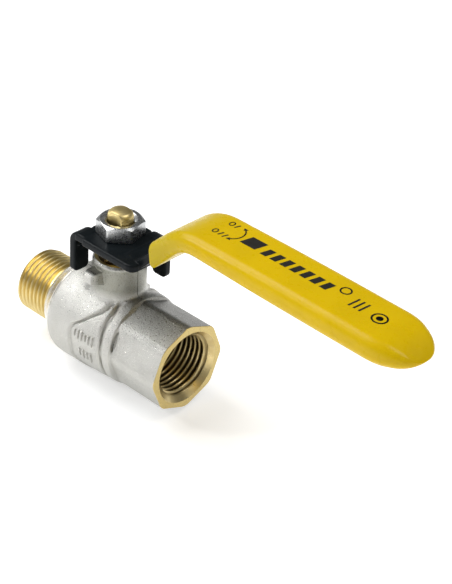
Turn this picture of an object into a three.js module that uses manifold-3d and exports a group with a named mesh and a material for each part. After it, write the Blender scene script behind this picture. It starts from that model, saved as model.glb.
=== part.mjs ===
// Half-inch lever ball valve, male by female pipe thread, with a dipped lever.
// Millimetres, +Z up. The origin is the ball's centre, where the flow axis meets the stem axis.
// +X runs along the flow axis to the female end, and the lever points the same way when open.

import * as THREE from 'three';
import { mergeVertices } from 'three/addons/utils/BufferGeometryUtils.js';
import Module from 'manifold-3d';

const wasm = await Module();
wasm.setup();

// ---------------------------------------------------------------- driving dimensions

const PIPE_THREAD_MAJOR = 20.955;          // G 1/2
const PIPE_THREAD_MINOR = 18.631;
const FLOW_BORE = 15;

const FEMALE_FACE_X = 29.9;
const OCTAGON_FLATS = 27;                  // across flats
const OCTAGON_START_X = 4;
const OCTAGON_EDGE_BREAK = 0.6;            // flat width taken off each corner
const FEMALE_THREAD_START_X = 14;
const FEMALE_CHAMFER = 1.5;

const BARREL_END_X = -16.2;                // end face that the adapter collar pulls up to
const CAVITY_RADIUS = 11.35;

const MALE_FACE_X = -36.2;
const MALE_CHAMFER = 0.9;
const COLLAR_RADIUS = 14.8;                // tapered shoulder that stops against the body's end face
const COLLAR_OUTER_X = -22;
const ADAPTER_SHANK_RADIUS = 11.25;
const ADAPTER_INNER_X = -5.3;

const BALL_RADIUS = 11.1;
const BALL_SLOT_WIDTH = 4.7;
const BALL_SLOT_FLOOR_Z = 8.6;

const SEAT_OUTER_RADIUS = 10.5;
const SEAT_INNER_RADIUS = 7.9;
const SEAT_NEAR_X = 5.6;
const SEAT_FAR_X = 10.4;
const SEAT_CLEARANCE = 0.1;                // to the ball

const TOWER_RADIUS = 8.24;
const TOWER_TOP_Z = 25.6;
const STEM_FLANGE_RADIUS = 5.2;
const STEM_FLANGE_TOP_Z = 13.9;
const STEM_RADIUS = 4;                     // M8 at the top
const STEM_FLATS = 5.5;                    // across the two flats
const STEM_TOP_Z = 41.6;
const TOWER_SHOULDER_Z = 14.8;             // underside of the inner shoulder
const PACKING_FLOOR_Z = 16.2;
const PACKING_RADIUS = 6.1;
const PACKING_TOP_Z = 20.7;
const GLAND_RADIUS = 6.3;
const GLAND_FLATS = 11;
const GLAND_TOP_Z = 26.8;
const RUNNING_GAP = 0.1;                   // radial gap of everything the stem turns in

const LUG_TOP_Z = 23.4;
const LUG_REACH = 12.6;                    // how far the stop lugs reach from the stem axis
const NEAR_LUG = { x0: -3.1, x1: 1, floorZ: 20 };
const FAR_LUG = { x0: -3.9, x1: 5, floorZ: 20.8 };

const STEEL = 2.5;                         // lever sheet
const PLATE_TOP_Z = 33.2;
const EAR_WIDTH = 5.8;
const EAR_BEND_RADIUS = 3.5;               // outside
const EAR_TIP_Z = 19.1;
const REAR_EAR = { outer: -11.45, side: -10 };
const SIDE_EAR = { outer: 10.7, side: 5.3 };
const PLATE_RUN = 3.2;                     // flat strip ahead of the bend
const NECK_ANGLE = 45.4;                   // degrees
const NECK_BEND_RADIUS = 4.75;
const NECK_RUN = 15.75;
const CREST_BEND_RADIUS = 14.5;
const GRIP_ANGLE = -1.5;
const BEND_STEPS = 10;
const STRIP_HALF_WIDTH = 7.9;
const STRIP_END_X = 106;
const STRIP_TIP = 10;                      // length of the rounded end
const SLEEVE_HALF_WIDTH = 10;
const SLEEVE_START_X = 21.7;
const SLEEVE_END_X = 111.7;
const SLEEVE_TIP = 13.8;
const SLEEVE_NECK_THICKNESS = 6.5;
const SLEEVE_GRIP_THICKNESS = 7.3;
const SLEEVE_FIT = 0.3;                    // gap kept round the strip

const NUT_FLATS = 13;
const NUT_TOP_Z = 38.2;
const NUT_SEAT_GAP = 0.05;
const NUT_TURN = 43.6;                     // degrees, where the nut came to rest

const FINE = 40;                           // segments round the large diameters
const COARSE = 28;

// ---------------------------------------------------------------- materials

const finish = (colour, roughness, metalness) =>
  new THREE.MeshStandardMaterial({ color: colour, roughness, metalness });

const NICKEL = finish(0xb9b6ae, 0.45, 1);
const BRASS = finish(0xcdb76e, 0.35, 1);
const CHROME = finish(0xd9d9d9, 0.08, 1);
const PTFE = finish(0xf2f1ea, 0.5, 0);
const BLACK_STEEL = finish(0x1c2226, 0.45, 0.2);
const ZINC = finish(0xc4c6c6, 0.25, 1);
const YELLOW_VINYL = finish(0xdcb800, 0.4, 0);

// ---------------------------------------------------------------- solids

const radians = THREE.MathUtils.degToRad;
const point = (x, y) => new THREE.Vector2(x, y);
const outline = (pairs) => pairs.map(([x, y]) => point(x, y));
const cornerRadius = (flats, sides) => flats / 2 / Math.cos(Math.PI / sides);

// A manifold solid from any closed three.js geometry.
function solid(geometry) {
  geometry.deleteAttribute('normal');
  geometry.deleteAttribute('uv');
  const merged = mergeVertices(geometry, 1e-4);
  const index = merged.index.array;
  const triangles = [];
  for (let i = 0; i < index.length; i += 3) {
    const [a, b, c] = index.slice(i, i + 3);
    if (a !== b && b !== c && c !== a) triangles.push(a, b, c);
  }
  return new wasm.Manifold(new wasm.Mesh({
    numProp: 3,
    vertProperties: merged.attributes.position.array,
    triVerts: new Uint32Array(triangles),
  }));
}

function mesh(name, body, material) {
  const { vertProperties, triVerts } = body.getMesh();
  const geometry = new THREE.BufferGeometry();
  geometry.setAttribute('position', new THREE.BufferAttribute(new Float32Array(vertProperties), 3));
  geometry.setIndex(new THREE.BufferAttribute(new Uint32Array(triVerts), 1));
  geometry.computeVertexNormals();
  const part = new THREE.Mesh(geometry, material);
  part.name = name;
  return part;
}

// Solids of revolution. A profile is a list of [along the axis, radius] pairs in increasing
// axis order, which starts and ends on the axis.
function aboutZ(profile, segments = FINE) {
  const geometry = new THREE.LatheGeometry(outline(profile.map(([z, r]) => [r, z])), segments);
  return solid(geometry.rotateX(Math.PI / 2));
}

function aboutX(profile, segments = FINE) {
  const geometry = new THREE.LatheGeometry(outline(profile.map(([x, r]) => [r, x])), segments);
  return solid(geometry.rotateZ(-Math.PI / 2));
}

const rodX = (radius, x0, x1, segments) => aboutX([[x0, 0], [x0, radius], [x1, radius], [x1, 0]], segments);
const rodZ = (radius, z0, z1, segments) => aboutZ([[z0, 0], [z0, radius], [z1, radius], [z1, 0]], segments);

// Outlines pushed along an axis, from one coordinate to another.
function pushed(shape, length) {
  return new THREE.ExtrudeGeometry(shape, { depth: length, bevelEnabled: false, curveSegments: 8 });
}

const alongZ = (shape, z0, z1) => solid(pushed(shape, z1 - z0).translate(0, 0, z0));

// The shape is drawn in (Y, Z).
const alongX = (shape, x0, x1) =>
  solid(pushed(shape, x1 - x0).rotateZ(Math.PI / 2).rotateY(Math.PI / 2).translate(x0, 0, 0));

// The shape is drawn in (X, Z).
const alongY = (shape, y0, y1) => solid(pushed(shape, y1 - y0).rotateX(Math.PI / 2).translate(0, y1, 0));

function block(x0, x1, y0, y1, z0, z1) {
  const geometry = new THREE.BoxGeometry(x1 - x0, y1 - y0, z1 - z0);
  return solid(geometry.translate((x0 + x1) / 2, (y0 + y1) / 2, (z0 + z1) / 2));
}

function hexagon(flats) {
  const radius = cornerRadius(flats, 6);
  const corners = [];
  for (let i = 0; i < 6; i++) {
    const angle = (i * Math.PI) / 3;
    corners.push(point(radius * Math.cos(angle), radius * Math.sin(angle)));
  }
  return new THREE.Shape(corners);
}

// ---------------------------------------------------------------- valve body

// Octagon with a corner on top and each corner broken by a narrow flat.
function octagonOutline() {
  const apothem = OCTAGON_FLATS / 2;
  const halfFlat = apothem * Math.tan(Math.PI / 8) - OCTAGON_EDGE_BREAK / 2;
  const corners = [];
  for (let i = 0; i < 8; i++) {
    const angle = Math.PI / 8 + (i * Math.PI) / 4;
    for (const side of [-halfFlat, halfFlat]) {
      corners.push(point(
        apothem * Math.cos(angle) - side * Math.sin(angle),
        apothem * Math.sin(angle) + side * Math.cos(angle),
      ));
    }
  }
  return new THREE.Shape(corners);
}

function barrel() {
  const side = new THREE.SplineCurve(outline([
    [BARREL_END_X, 14.95], [-14.9, 15.65], [-12.6, 15.98], [-6, 15.8], [1, 15.4], [8.5, 13.6],
  ]));
  const profile = side.getPoints(13).map((p) => [p.x, p.y]);
  return aboutX([[BARREL_END_X, 0], ...profile, [profile.at(-1)[0], 0]]);
}

// A stop lug drawn in (distance from the stem axis, height), with a blunt nose.
function lug({ x0, x1, floorZ }, side) {
  const root = TOWER_RADIUS - 1.5;
  const nose = [
    [root, floorZ], [LUG_REACH - 1.2, floorZ], [LUG_REACH, floorZ + 1.1],
    [LUG_REACH - 0.2, LUG_TOP_Z - 1], [LUG_REACH - 1.4, LUG_TOP_Z], [root, LUG_TOP_Z],
  ].map(([reach, z]) => [side * reach, z]);
  if (side < 0) nose.reverse();
  return alongX(new THREE.Shape(outline(nose)), x0, x1);
}

function flowPassage() {
  const threadRadius = PIPE_THREAD_MINOR / 2;
  const mouth = FEMALE_FACE_X + 0.3;
  return aboutX([
    [BARREL_END_X - 1, 0], [BARREL_END_X - 1, CAVITY_RADIUS], [SEAT_NEAR_X - 0.5, CAVITY_RADIUS],
    [SEAT_NEAR_X - 0.5, SEAT_OUTER_RADIUS + 0.1], [SEAT_FAR_X + 0.1, SEAT_OUTER_RADIUS + 0.1],
    [SEAT_FAR_X + 0.1, FLOW_BORE / 2], [FEMALE_THREAD_START_X, FLOW_BORE / 2],
    [FEMALE_THREAD_START_X, threadRadius], [FEMALE_FACE_X - FEMALE_CHAMFER, threadRadius],
    [mouth, threadRadius + FEMALE_CHAMFER + 0.3], [mouth, 0],
  ]);
}

function stemPassage() {
  const top = TOWER_TOP_Z + 1;
  return aboutZ([
    [2, 0], [2, STEM_FLANGE_RADIUS + 0.15], [TOWER_SHOULDER_Z, STEM_FLANGE_RADIUS + 0.15],
    [TOWER_SHOULDER_Z, STEM_RADIUS + RUNNING_GAP], [PACKING_FLOOR_Z, STEM_RADIUS + RUNNING_GAP],
    [PACKING_FLOOR_Z, PACKING_RADIUS], [PACKING_TOP_Z, PACKING_RADIUS],
    [PACKING_TOP_Z, GLAND_RADIUS + 0.1], [top, GLAND_RADIUS + 0.1], [top, 0],
  ], COARSE);
}

function valveBody() {
  return barrel()
    .add(alongX(octagonOutline(), OCTAGON_START_X, FEMALE_FACE_X))
    .add(rodZ(TOWER_RADIUS, 8, TOWER_TOP_Z))
    .add(lug(NEAR_LUG, -1))
    .add(lug(FAR_LUG, 1))
    .subtract(flowPassage())
    .subtract(stemPassage());
}

// ---------------------------------------------------------------- end adapter, ball and seats

function endAdapter() {
  const threadRadius = PIPE_THREAD_MAJOR / 2;
  const outside = aboutX([
    [MALE_FACE_X, 0], [MALE_FACE_X, threadRadius - MALE_CHAMFER],
    [MALE_FACE_X + MALE_CHAMFER, threadRadius], [COLLAR_OUTER_X, threadRadius],
    [COLLAR_OUTER_X, threadRadius + 0.6], [COLLAR_OUTER_X + 0.5, threadRadius + 1.1],
    [COLLAR_OUTER_X + 2, threadRadius + 1.9], [BARREL_END_X - 0.1, COLLAR_RADIUS],
    [BARREL_END_X - 0.1, ADAPTER_SHANK_RADIUS], [ADAPTER_INNER_X, ADAPTER_SHANK_RADIUS],
    [ADAPTER_INNER_X, 0],
  ]);
  const seatPocket = rodX(SEAT_OUTER_RADIUS + 0.1, -SEAT_FAR_X - 0.1, ADAPTER_INNER_X + 1);
  return outside.subtract(seatPocket).subtract(rodX(FLOW_BORE / 2, MALE_FACE_X - 1, 0));
}

function ball() {
  const sphere = solid(new THREE.SphereGeometry(BALL_RADIUS, FINE, 18).rotateX(Math.PI / 2));
  const half = BALL_SLOT_WIDTH / 2;
  return sphere
    .subtract(rodX(FLOW_BORE / 2, -BALL_RADIUS - 1, BALL_RADIUS + 1, COARSE))
    .subtract(block(-half, half, -BALL_RADIUS, BALL_RADIUS, BALL_SLOT_FLOOR_Z, BALL_RADIUS + 1));
}

// One ring, its inner face hollowed to the ball. It is drawn on the female side.
function seatRing() {
  const ring = rodX(SEAT_OUTER_RADIUS, SEAT_NEAR_X, SEAT_FAR_X)
    .subtract(rodX(SEAT_INNER_RADIUS, SEAT_NEAR_X - 1, SEAT_FAR_X + 1));
  const hollow = new THREE.SphereGeometry(BALL_RADIUS + SEAT_CLEARANCE, FINE, 24);
  return ring.subtract(solid(hollow.rotateZ(Math.PI / 2)));
}

// ---------------------------------------------------------------- stem and its seals

function stem() {
  const flangeFloor = 11.85;
  const shaft = aboutZ([
    [flangeFloor, 0], [flangeFloor, STEM_FLANGE_RADIUS], [STEM_FLANGE_TOP_Z, STEM_FLANGE_RADIUS],
    [STEM_FLANGE_TOP_Z, STEM_RADIUS], [STEM_TOP_Z - 2.4, STEM_RADIUS], [STEM_TOP_Z - 1.1, 3.4],
    [STEM_TOP_Z - 0.3, 2.1], [STEM_TOP_Z, 0],
  ], COARSE);
  const tongueHalf = BALL_SLOT_WIDTH / 2 - 0.15;
  const tongueReach = STEM_FLANGE_RADIUS - 0.6;
  const tongue = block(
    -tongueHalf, tongueHalf, -tongueReach, tongueReach, BALL_SLOT_FLOOR_Z + 0.3, flangeFloor + 1,
  );
  const flatZ = PLATE_TOP_Z - STEEL;
  const flat = block(-6, 6, STEM_FLATS / 2, 6, flatZ, STEM_TOP_Z + 1);
  return shaft.add(tongue).subtract(flat).subtract(flat.mirror([0, 1, 0]));
}

function ringAboutZ(profile) {
  const closed = outline([...profile, profile[0]].map(([z, r]) => [r, z]));
  return solid(new THREE.LatheGeometry(closed, COARSE).rotateX(Math.PI / 2));
}

function thrustWasher() {
  const floor = STEM_FLANGE_TOP_Z + 0.05;
  const top = TOWER_SHOULDER_Z - 0.05;
  const inner = STEM_RADIUS + RUNNING_GAP;
  return ringAboutZ([[floor, STEM_FLANGE_RADIUS], [top, STEM_FLANGE_RADIUS], [top, inner], [floor, inner]]);
}

// One chevron ring of the packing set. The first has a flat floor, and the last a flat top.
function packingRing(level) {
  const inner = STEM_RADIUS + RUNNING_GAP;
  const outer = PACKING_RADIUS - 0.1;
  const middle = (inner + outer) / 2;
  const step = 1.45;
  const rise = 0.5;
  const floor = PACKING_FLOOR_Z + 0.05 + level * step;
  const top = floor + step - 0.05;
  const profile = [[floor, outer], [top, outer]];
  if (level < 2) profile.push([top + rise, middle]);
  profile.push([top, inner], [floor, inner]);
  if (level > 0) profile.push([floor + rise, middle]);
  return ringAboutZ(profile);
}

function glandNut() {
  const head = alongZ(hexagon(GLAND_FLATS), TOWER_TOP_Z + 0.05, GLAND_TOP_Z);
  return rodZ(GLAND_RADIUS, PACKING_TOP_Z + 0.05, TOWER_TOP_Z + 0.3, COARSE)
    .add(head)
    .subtract(rodZ(STEM_RADIUS + RUNNING_GAP, 0, 40, COARSE));
}

// ---------------------------------------------------------------- lever

// The flat plate round the stem, without its ears.
function plateOutline() {
  const near = -11;
  const far = 8.1;
  const rear = -8.4;
  const front = 16.4;
  const shape = new THREE.Shape();
  shape.moveTo(rear, REAR_EAR.side);
  shape.lineTo(-5.2, REAR_EAR.side);
  shape.lineTo(-4.6, near);
  shape.lineTo(front - 3, near);
  shape.absarc(front - 3, near + 3, 3, -Math.PI / 2, 0);
  shape.lineTo(front, STRIP_HALF_WIDTH);
  shape.lineTo(front - 3, far);
  shape.lineTo(SIDE_EAR.side + EAR_WIDTH + 0.4, far);
  shape.lineTo(SIDE_EAR.side + EAR_WIDTH, SIDE_EAR.outer - EAR_BEND_RADIUS);
  shape.lineTo(SIDE_EAR.side, SIDE_EAR.outer - EAR_BEND_RADIUS);
  shape.lineTo(SIDE_EAR.side - 0.4, far);
  shape.absarc(rear + 4, far - 4, 4, Math.PI / 2, Math.PI);
  shape.lineTo(rear, REAR_EAR.side + EAR_WIDTH + 0.5);
  return shape;
}

// Section of an ear that bends down, drawn in (distance out, height).
function earSection(outer) {
  const reach = Math.abs(outer);
  const centre = reach - EAR_BEND_RADIUS;
  const centreZ = PLATE_TOP_Z - EAR_BEND_RADIUS;
  const inner = EAR_BEND_RADIUS - STEEL;
  const shape = new THREE.Shape();
  shape.moveTo(centre - 1, centreZ + inner);
  shape.lineTo(centre, centreZ + inner);
  shape.absarc(centre, centreZ, inner, Math.PI / 2, 0, true);
  shape.lineTo(reach - STEEL, EAR_TIP_Z);
  shape.lineTo(reach, EAR_TIP_Z);
  shape.lineTo(reach, centreZ);
  shape.absarc(centre, centreZ, EAR_BEND_RADIUS, 0, Math.PI / 2);
  shape.lineTo(centre - 1, PLATE_TOP_Z);
  return shape;
}

// Centre line of the bent strip in (X, Z), with its heading, from the plate to the grip's end.
function stripLine(endX) {
  let x = 10;
  let z = PLATE_TOP_Z - STEEL / 2;
  let heading = 0;
  const stations = [{ x, z, heading }];
  const straight = (length) => {
    x += length * Math.cos(heading);
    z += length * Math.sin(heading);
    stations.push({ x, z, heading });
  };
  const bend = (degrees, radius) => {
    const turn = radians(degrees) / BEND_STEPS;
    const chord = 2 * radius * Math.sin(Math.abs(turn) / 2);
    for (let i = 0; i < BEND_STEPS; i++) {
      x += chord * Math.cos(heading + turn / 2);
      z += chord * Math.sin(heading + turn / 2);
      heading += turn;
      stations.push({ x, z, heading });
    }
  };
  straight(PLATE_RUN);
  bend(NECK_ANGLE, NECK_BEND_RADIUS);
  straight(NECK_RUN);
  bend(GRIP_ANGLE - NECK_ANGLE, CREST_BEND_RADIUS);
  straight((endX - x) / Math.cos(heading));
  return stations;
}

// Side outline of a band that follows the strip's centre line.
function band(stations, thicknessAt) {
  const offset = (side) => ({ x, z, heading }) => {
    const distance = (side * thicknessAt(x)) / 2;
    return point(x - distance * Math.sin(heading), z + distance * Math.cos(heading));
  };
  return new THREE.Shape([...stations.map(offset(-1)), ...stations.map(offset(1)).reverse()]);
}

// Plan of a bar whose far end is half an ellipse.
function roundedPlan(halfWidth, startX, endX, tip) {
  const shape = new THREE.Shape();
  shape.moveTo(startX, -halfWidth);
  shape.absellipse(endX - tip, 0, tip, halfWidth, -Math.PI / 2, Math.PI / 2);
  shape.lineTo(startX, halfWidth);
  return shape;
}

function lever() {
  const plate = alongZ(plateOutline(), PLATE_TOP_Z - STEEL, PLATE_TOP_Z);
  const sideEar = alongX(earSection(SIDE_EAR.outer), SIDE_EAR.side, SIDE_EAR.side + EAR_WIDTH);
  const rearEar = alongY(earSection(REAR_EAR.outer), REAR_EAR.side, REAR_EAR.side + EAR_WIDTH)
    .mirror([1, 0, 0]);
  const strip = alongY(band(stripLine(STRIP_END_X), () => STEEL), -STRIP_HALF_WIDTH, STRIP_HALF_WIDTH)
    .intersect(alongZ(roundedPlan(STRIP_HALF_WIDTH, 0, STRIP_END_X, STRIP_TIP), 20, 60));
  const gap = 0.15;
  const hole = rodZ(STEM_RADIUS + gap, 20, 40, COARSE)
    .intersect(block(-6, 6, -STEM_FLATS / 2 - gap, STEM_FLATS / 2 + gap, 20, 40));
  return plate.add(sideEar).add(rearEar).add(strip).subtract(hole);
}

function leverSleeve() {
  const thickness = (x) => THREE.MathUtils.clamp(
    THREE.MathUtils.mapLinear(x, 40, 65, SLEEVE_NECK_THICKNESS, SLEEVE_GRIP_THICKNESS),
    SLEEVE_NECK_THICKNESS, SLEEVE_GRIP_THICKNESS,
  );
  const covered = stripLine(SLEEVE_END_X).slice(BEND_STEPS);
  const pocketHalf = STRIP_HALF_WIDTH + SLEEVE_FIT;
  const pocketEnd = STRIP_END_X + SLEEVE_FIT;
  const pocket = alongY(band(stripLine(pocketEnd), () => STEEL + 2 * SLEEVE_FIT), -pocketHalf, pocketHalf)
    .intersect(alongZ(roundedPlan(pocketHalf, 0, pocketEnd, STRIP_TIP), 20, 60));
  return alongY(band(covered, thickness), -SLEEVE_HALF_WIDTH, SLEEVE_HALF_WIDTH)
    .intersect(alongZ(roundedPlan(SLEEVE_HALF_WIDTH, SLEEVE_START_X, SLEEVE_END_X, SLEEVE_TIP), 20, 60))
    .subtract(pocket);
}

function leverNut() {
  const floor = PLATE_TOP_Z + NUT_SEAT_GAP;
  const face = NUT_FLATS / 2 - 0.2;
  const corner = cornerRadius(NUT_FLATS, 6) + 0.1;
  const turned = aboutZ([
    [floor, 0], [floor, face], [floor + 0.6, corner],
    [NUT_TOP_Z - 0.7, corner], [NUT_TOP_Z, face], [NUT_TOP_Z, 0],
  ]);
  return alongZ(hexagon(NUT_FLATS), floor - 1, NUT_TOP_Z + 1)
    .rotate([0, 0, NUT_TURN])
    .intersect(turned)
    .subtract(rodZ(STEM_RADIUS + 0.15, 20, 50, COARSE));
}

// ---------------------------------------------------------------- assembly

const valve = new THREE.Group();
valve.add(
  mesh('valve_body', valveBody(), NICKEL),
  mesh('end_adapter', endAdapter(), BRASS),
  mesh('ball', ball(), CHROME),
  mesh('seat_ring_female_side', seatRing(), PTFE),
  mesh('seat_ring_male_side', seatRing().mirror([1, 0, 0]), PTFE),
  mesh('stem', stem(), BRASS),
  mesh('thrust_washer', thrustWasher(), PTFE),
  mesh('packing_ring_lower', packingRing(0), PTFE),
  mesh('packing_ring_middle', packingRing(1), PTFE),
  mesh('packing_ring_upper', packingRing(2), PTFE),
  mesh('gland_nut', glandNut(), BRASS),
  mesh('lever', lever(), BLACK_STEEL),
  mesh('lever_sleeve', leverSleeve(), YELLOW_VINYL),
  mesh('lever_nut', leverNut(), ZINC),
);

export default valve;
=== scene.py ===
"""Half-inch lever ball valve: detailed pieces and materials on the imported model's frame.

The making code works in millimetres, in the frame's axes: origin at the ball's centre, +X along the
flow axis to the female end, +Z up the stem. mesh_object() turns millimetres into metres. Angles
round the flow axis are in degrees: 90 on top, 180 on the near side, 270 below.
"""
import itertools
import math

import bmesh
import bpy
import numpy as np
from mathutils import Matrix, Vector


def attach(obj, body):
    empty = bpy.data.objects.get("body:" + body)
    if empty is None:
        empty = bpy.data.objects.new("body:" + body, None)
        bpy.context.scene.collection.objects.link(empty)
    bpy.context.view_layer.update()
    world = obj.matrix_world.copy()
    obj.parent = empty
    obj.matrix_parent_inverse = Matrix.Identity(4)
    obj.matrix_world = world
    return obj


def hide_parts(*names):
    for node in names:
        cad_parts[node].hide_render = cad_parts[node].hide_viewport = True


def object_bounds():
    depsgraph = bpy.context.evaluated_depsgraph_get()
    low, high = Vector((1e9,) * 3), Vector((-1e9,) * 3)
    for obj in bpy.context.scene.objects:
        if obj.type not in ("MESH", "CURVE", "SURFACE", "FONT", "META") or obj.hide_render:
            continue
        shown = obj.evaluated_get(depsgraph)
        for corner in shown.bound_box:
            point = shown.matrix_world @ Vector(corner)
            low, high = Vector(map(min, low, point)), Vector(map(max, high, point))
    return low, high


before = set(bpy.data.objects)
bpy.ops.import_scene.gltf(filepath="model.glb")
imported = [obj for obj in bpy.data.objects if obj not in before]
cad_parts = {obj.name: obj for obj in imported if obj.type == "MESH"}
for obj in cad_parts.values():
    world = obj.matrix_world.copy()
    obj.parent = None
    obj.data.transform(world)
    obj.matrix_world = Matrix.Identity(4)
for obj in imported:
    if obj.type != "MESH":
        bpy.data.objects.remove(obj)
cad_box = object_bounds()

# ------------------------------------------------------------------ dimensions, in millimetres

FEMALE_FACE = 29.9
FACE_EDGE = 0.12  # the broken edge round the faced female end
MALE_FACE = -36.2
BODY_END = -16.15
TOWER_TOP = 25.6
TOWER_R = 8.24
LUG_TOP = 23.4
APOTHEM = 13.5
OCTAGON_EDGE = 1.3
BORE_R = 7.5
CHAMBER_R = 11.37
MOUTH_R = 11.75

# G 1/2 pipe thread
PITCH = 1.814
THREAD_DEPTH = 1.162
MAJOR_R = 20.955 / 2
MINOR_R = MAJOR_R - THREAD_DEPTH

STEEL = 2.5
PLATE_TOP = 33.2
STRIP_HALF = 7.9
HOLE_R = 4.15  # round the stem, in the lever and in its nut
HOLE_FLAT = 2.9  # half the distance between the flats of the lever's hole
SLEEVE_END = 111.7
SLEEVE_HALF = 10.0
SLEEVE_START = 7.5  # along the strip from its first bend

NUT_TOP = 38.2
NUT_HALF = 6.5
STEM_R = 3.97
STEM_FLAT = 2.65

# cell sizes of the distance fields
BODY_STEP, QUICK_BODY_STEP = 0.25, 0.4
STEM_STEP, QUICK_STEM_STEP = 0.14, 0.22

# ------------------------------------------------------------------ mesh helpers


def mesh_object(name, vertices, faces, material, body, smooth_angle=None, replaces=(), slot=None):
    mesh = bpy.data.meshes.new(name)
    mesh.from_pydata([tuple(v) for v in np.asarray(vertices, float) * 0.001], [], faces)
    mesh.materials.append(material)
    mesh.polygons.foreach_set("use_smooth", [True] * len(mesh.polygons))
    piece = bpy.data.objects.new(name, mesh)
    bpy.context.collection.objects.link(piece)
    if smooth_angle is not None:
        mark_sharp(mesh, smooth_angle)
    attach(piece, body)
    if replaces:
        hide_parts(*replaces)


def mark_sharp(mesh, degrees):
    bm = bmesh.new()
    bm.from_mesh(mesh)
    limit = math.radians(degrees)
    for edge in bm.edges:
        if len(edge.link_faces) == 2 and edge.calc_face_angle(0) > limit:
            edge.smooth = False
    bm.to_mesh(mesh)
    bm.free()


def emptied(bm):
    """Takes vertices and faces out of a bmesh and frees it."""
    bm.verts.index_update()
    result = [tuple(p.co) for p in bm.verts], [[p.index for p in f.verts] for f in bm.faces]
    bm.free()
    return result


def grid_faces(rows, columns, wrap_columns=True, flip=False):
    faces = []
    for i in range(rows - 1):
        for j in range(columns if wrap_columns else columns - 1):
            a = i * columns + j
            b = i * columns + (j + 1) % columns
            c = (i + 1) * columns + (j + 1) % columns
            d = (i + 1) * columns + j
            faces.append((a, d, c, b) if flip else (a, b, c, d))
    return faces


def joined(parts):
    """One vertex array and face list from several."""
    vertices, faces, base = [], [], 0
    for v, f in parts:
        vertices.append(np.asarray(v, float).reshape(-1, 3))
        faces += [tuple(base + i for i in face) for face in f]
        base += len(vertices[-1])
    return np.concatenate(vertices), faces


def full_turn(count):
    return np.linspace(0, 2 * math.pi, count, endpoint=False)


def around_x(profile, count=192, flip=False):
    """Surface of revolution about X through (x, radius) points."""
    p = np.asarray(profile, float)
    angle = full_turn(count)
    x = np.repeat(p[:, :1], count, 1)
    v = np.stack([x, p[:, 1:] * np.cos(angle), p[:, 1:] * np.sin(angle)], -1)
    return v.reshape(-1, 3), grid_faces(len(p), count, flip=flip)


def around_z(profile, flip=False):
    """Surface of revolution about Z through (z, radius) points."""
    v, f = around_x(profile, 128, flip)
    return v[:, [1, 2, 0]], f


def level_ring(angles, r, z):
    """A closed ring about Z; r and z are numbers, or arrays with a value for each angle."""
    r, z = np.broadcast_to(r, angles.shape), np.broadcast_to(z, angles.shape)
    return np.stack([r * np.cos(angles), r * np.sin(angles), z], -1)


def curve(t, points):
    """Smooth curve through (station, value) points, flat beyond its ends."""
    s, v = np.array(points, float).T
    slope = np.gradient(v, s)
    slope[0] = slope[-1] = 0
    t = np.clip(t, s[0], s[-1])
    i = np.clip(np.searchsorted(s, t) - 1, 0, len(s) - 2)
    width = s[i + 1] - s[i]
    u = (t - s[i]) / width
    return (
        v[i] * (1 + 2 * u) * (1 - u) ** 2
        + slope[i] * width * u * (1 - u) ** 2
        + v[i + 1] * u * u * (3 - 2 * u)
        + slope[i + 1] * width * u * u * (u - 1)
    )


def step_up(t):
    t = np.clip(t, 0, 1)
    return t * t * (3 - 2 * t)


# ------------------------------------------------------------------ shapes as distance fields

# A field is negative inside. Factors just below 1 keep slanted fields near true distances, and the
# last argument of soft_min and soft_max is how widely they round an edge.


def soft_min(a, b, k):
    h = np.clip(0.5 + 0.5 * (b - a) / k, 0, 1)
    return b + (a - b) * h - k * h * (1 - h)


def soft_max(a, b, k):
    return -soft_min(-a, -b, k)


def round_box(x, y, z, low, high, radius):
    centre = [(l + h) / 2 for l, h in zip(low, high)]
    half = [(h - l) / 2 - radius for l, h in zip(low, high)]
    d = [np.abs(p - c) - h for p, c, h in zip((x, y, z), centre, half)]
    outside = np.sqrt(sum(np.maximum(q, 0) ** 2 for q in d))
    return outside + np.minimum(np.maximum(np.maximum(d[0], d[1]), d[2]), 0) - radius


def line_distance(x, y, points):
    """Distance to an open line in the plane."""
    best = np.full(np.shape(x), 1e9)
    for (ax, ay), (bx, by) in zip(points, points[1:]):
        ex, ey = bx - ax, by - ay
        t = np.clip(((x - ax) * ex + (y - ay) * ey) / (ex * ex + ey * ey), 0, 1)
        best = np.minimum(best, (x - ax - t * ex) ** 2 + (y - ay - t * ey) ** 2)
    return np.sqrt(best)


def polygon_distance(x, y, points):
    """Signed distance to a polygon in the plane, negative inside."""
    closed = points + points[:1]
    inside = np.zeros(np.shape(x), bool)
    for (ax, ay), (bx, by) in zip(closed, closed[1:]):
        if ay != by:
            crosses = (ay > y) != (by > y)
            inside ^= crosses & (x < (y - ay) * (bx - ax) / (by - ay) + ax)
    return np.where(inside, -1, 1) * line_distance(x, y, closed)


def settle(v, field, rounds, reach):
    """Moves vertices onto the field's zero, by no more than reach in a round."""
    e = 0.02  # the slope is taken between this far on either side
    least_slope = 0.05  # squared: keeps the moves short where the field is nearly flat
    for _ in range(rounds):
        x, y, z = v.T
        value = field(x, y, z)
        g = np.stack([
            field(x + e, y, z) - field(x - e, y, z),
            field(x, y + e, z) - field(x, y - e, z),
            field(x, y, z + e) - field(x, y, z - e),
        ], -1) / (2 * e)
        size = np.maximum((g * g).sum(1), least_slope)
        move = -value[:, None] * g / size[:, None]
        length = np.linalg.norm(move, axis=1, keepdims=True)
        v = v + move * np.minimum(1, reach / np.maximum(length, 1e-9))
    return v


def even_out(v, quads):
    """Moves each vertex half way to the mean of its neighbours."""
    mean = np.zeros_like(v)
    total = np.zeros(len(v))
    for s in range(4):
        np.add.at(mean, quads[:, s], v[quads[:, s - 1]])
        np.add.at(total, quads[:, s], 1)
    used = total > 0
    v[used] = 0.5 * v[used] + 0.5 * mean[used] / total[used, None]
    return v


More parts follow.
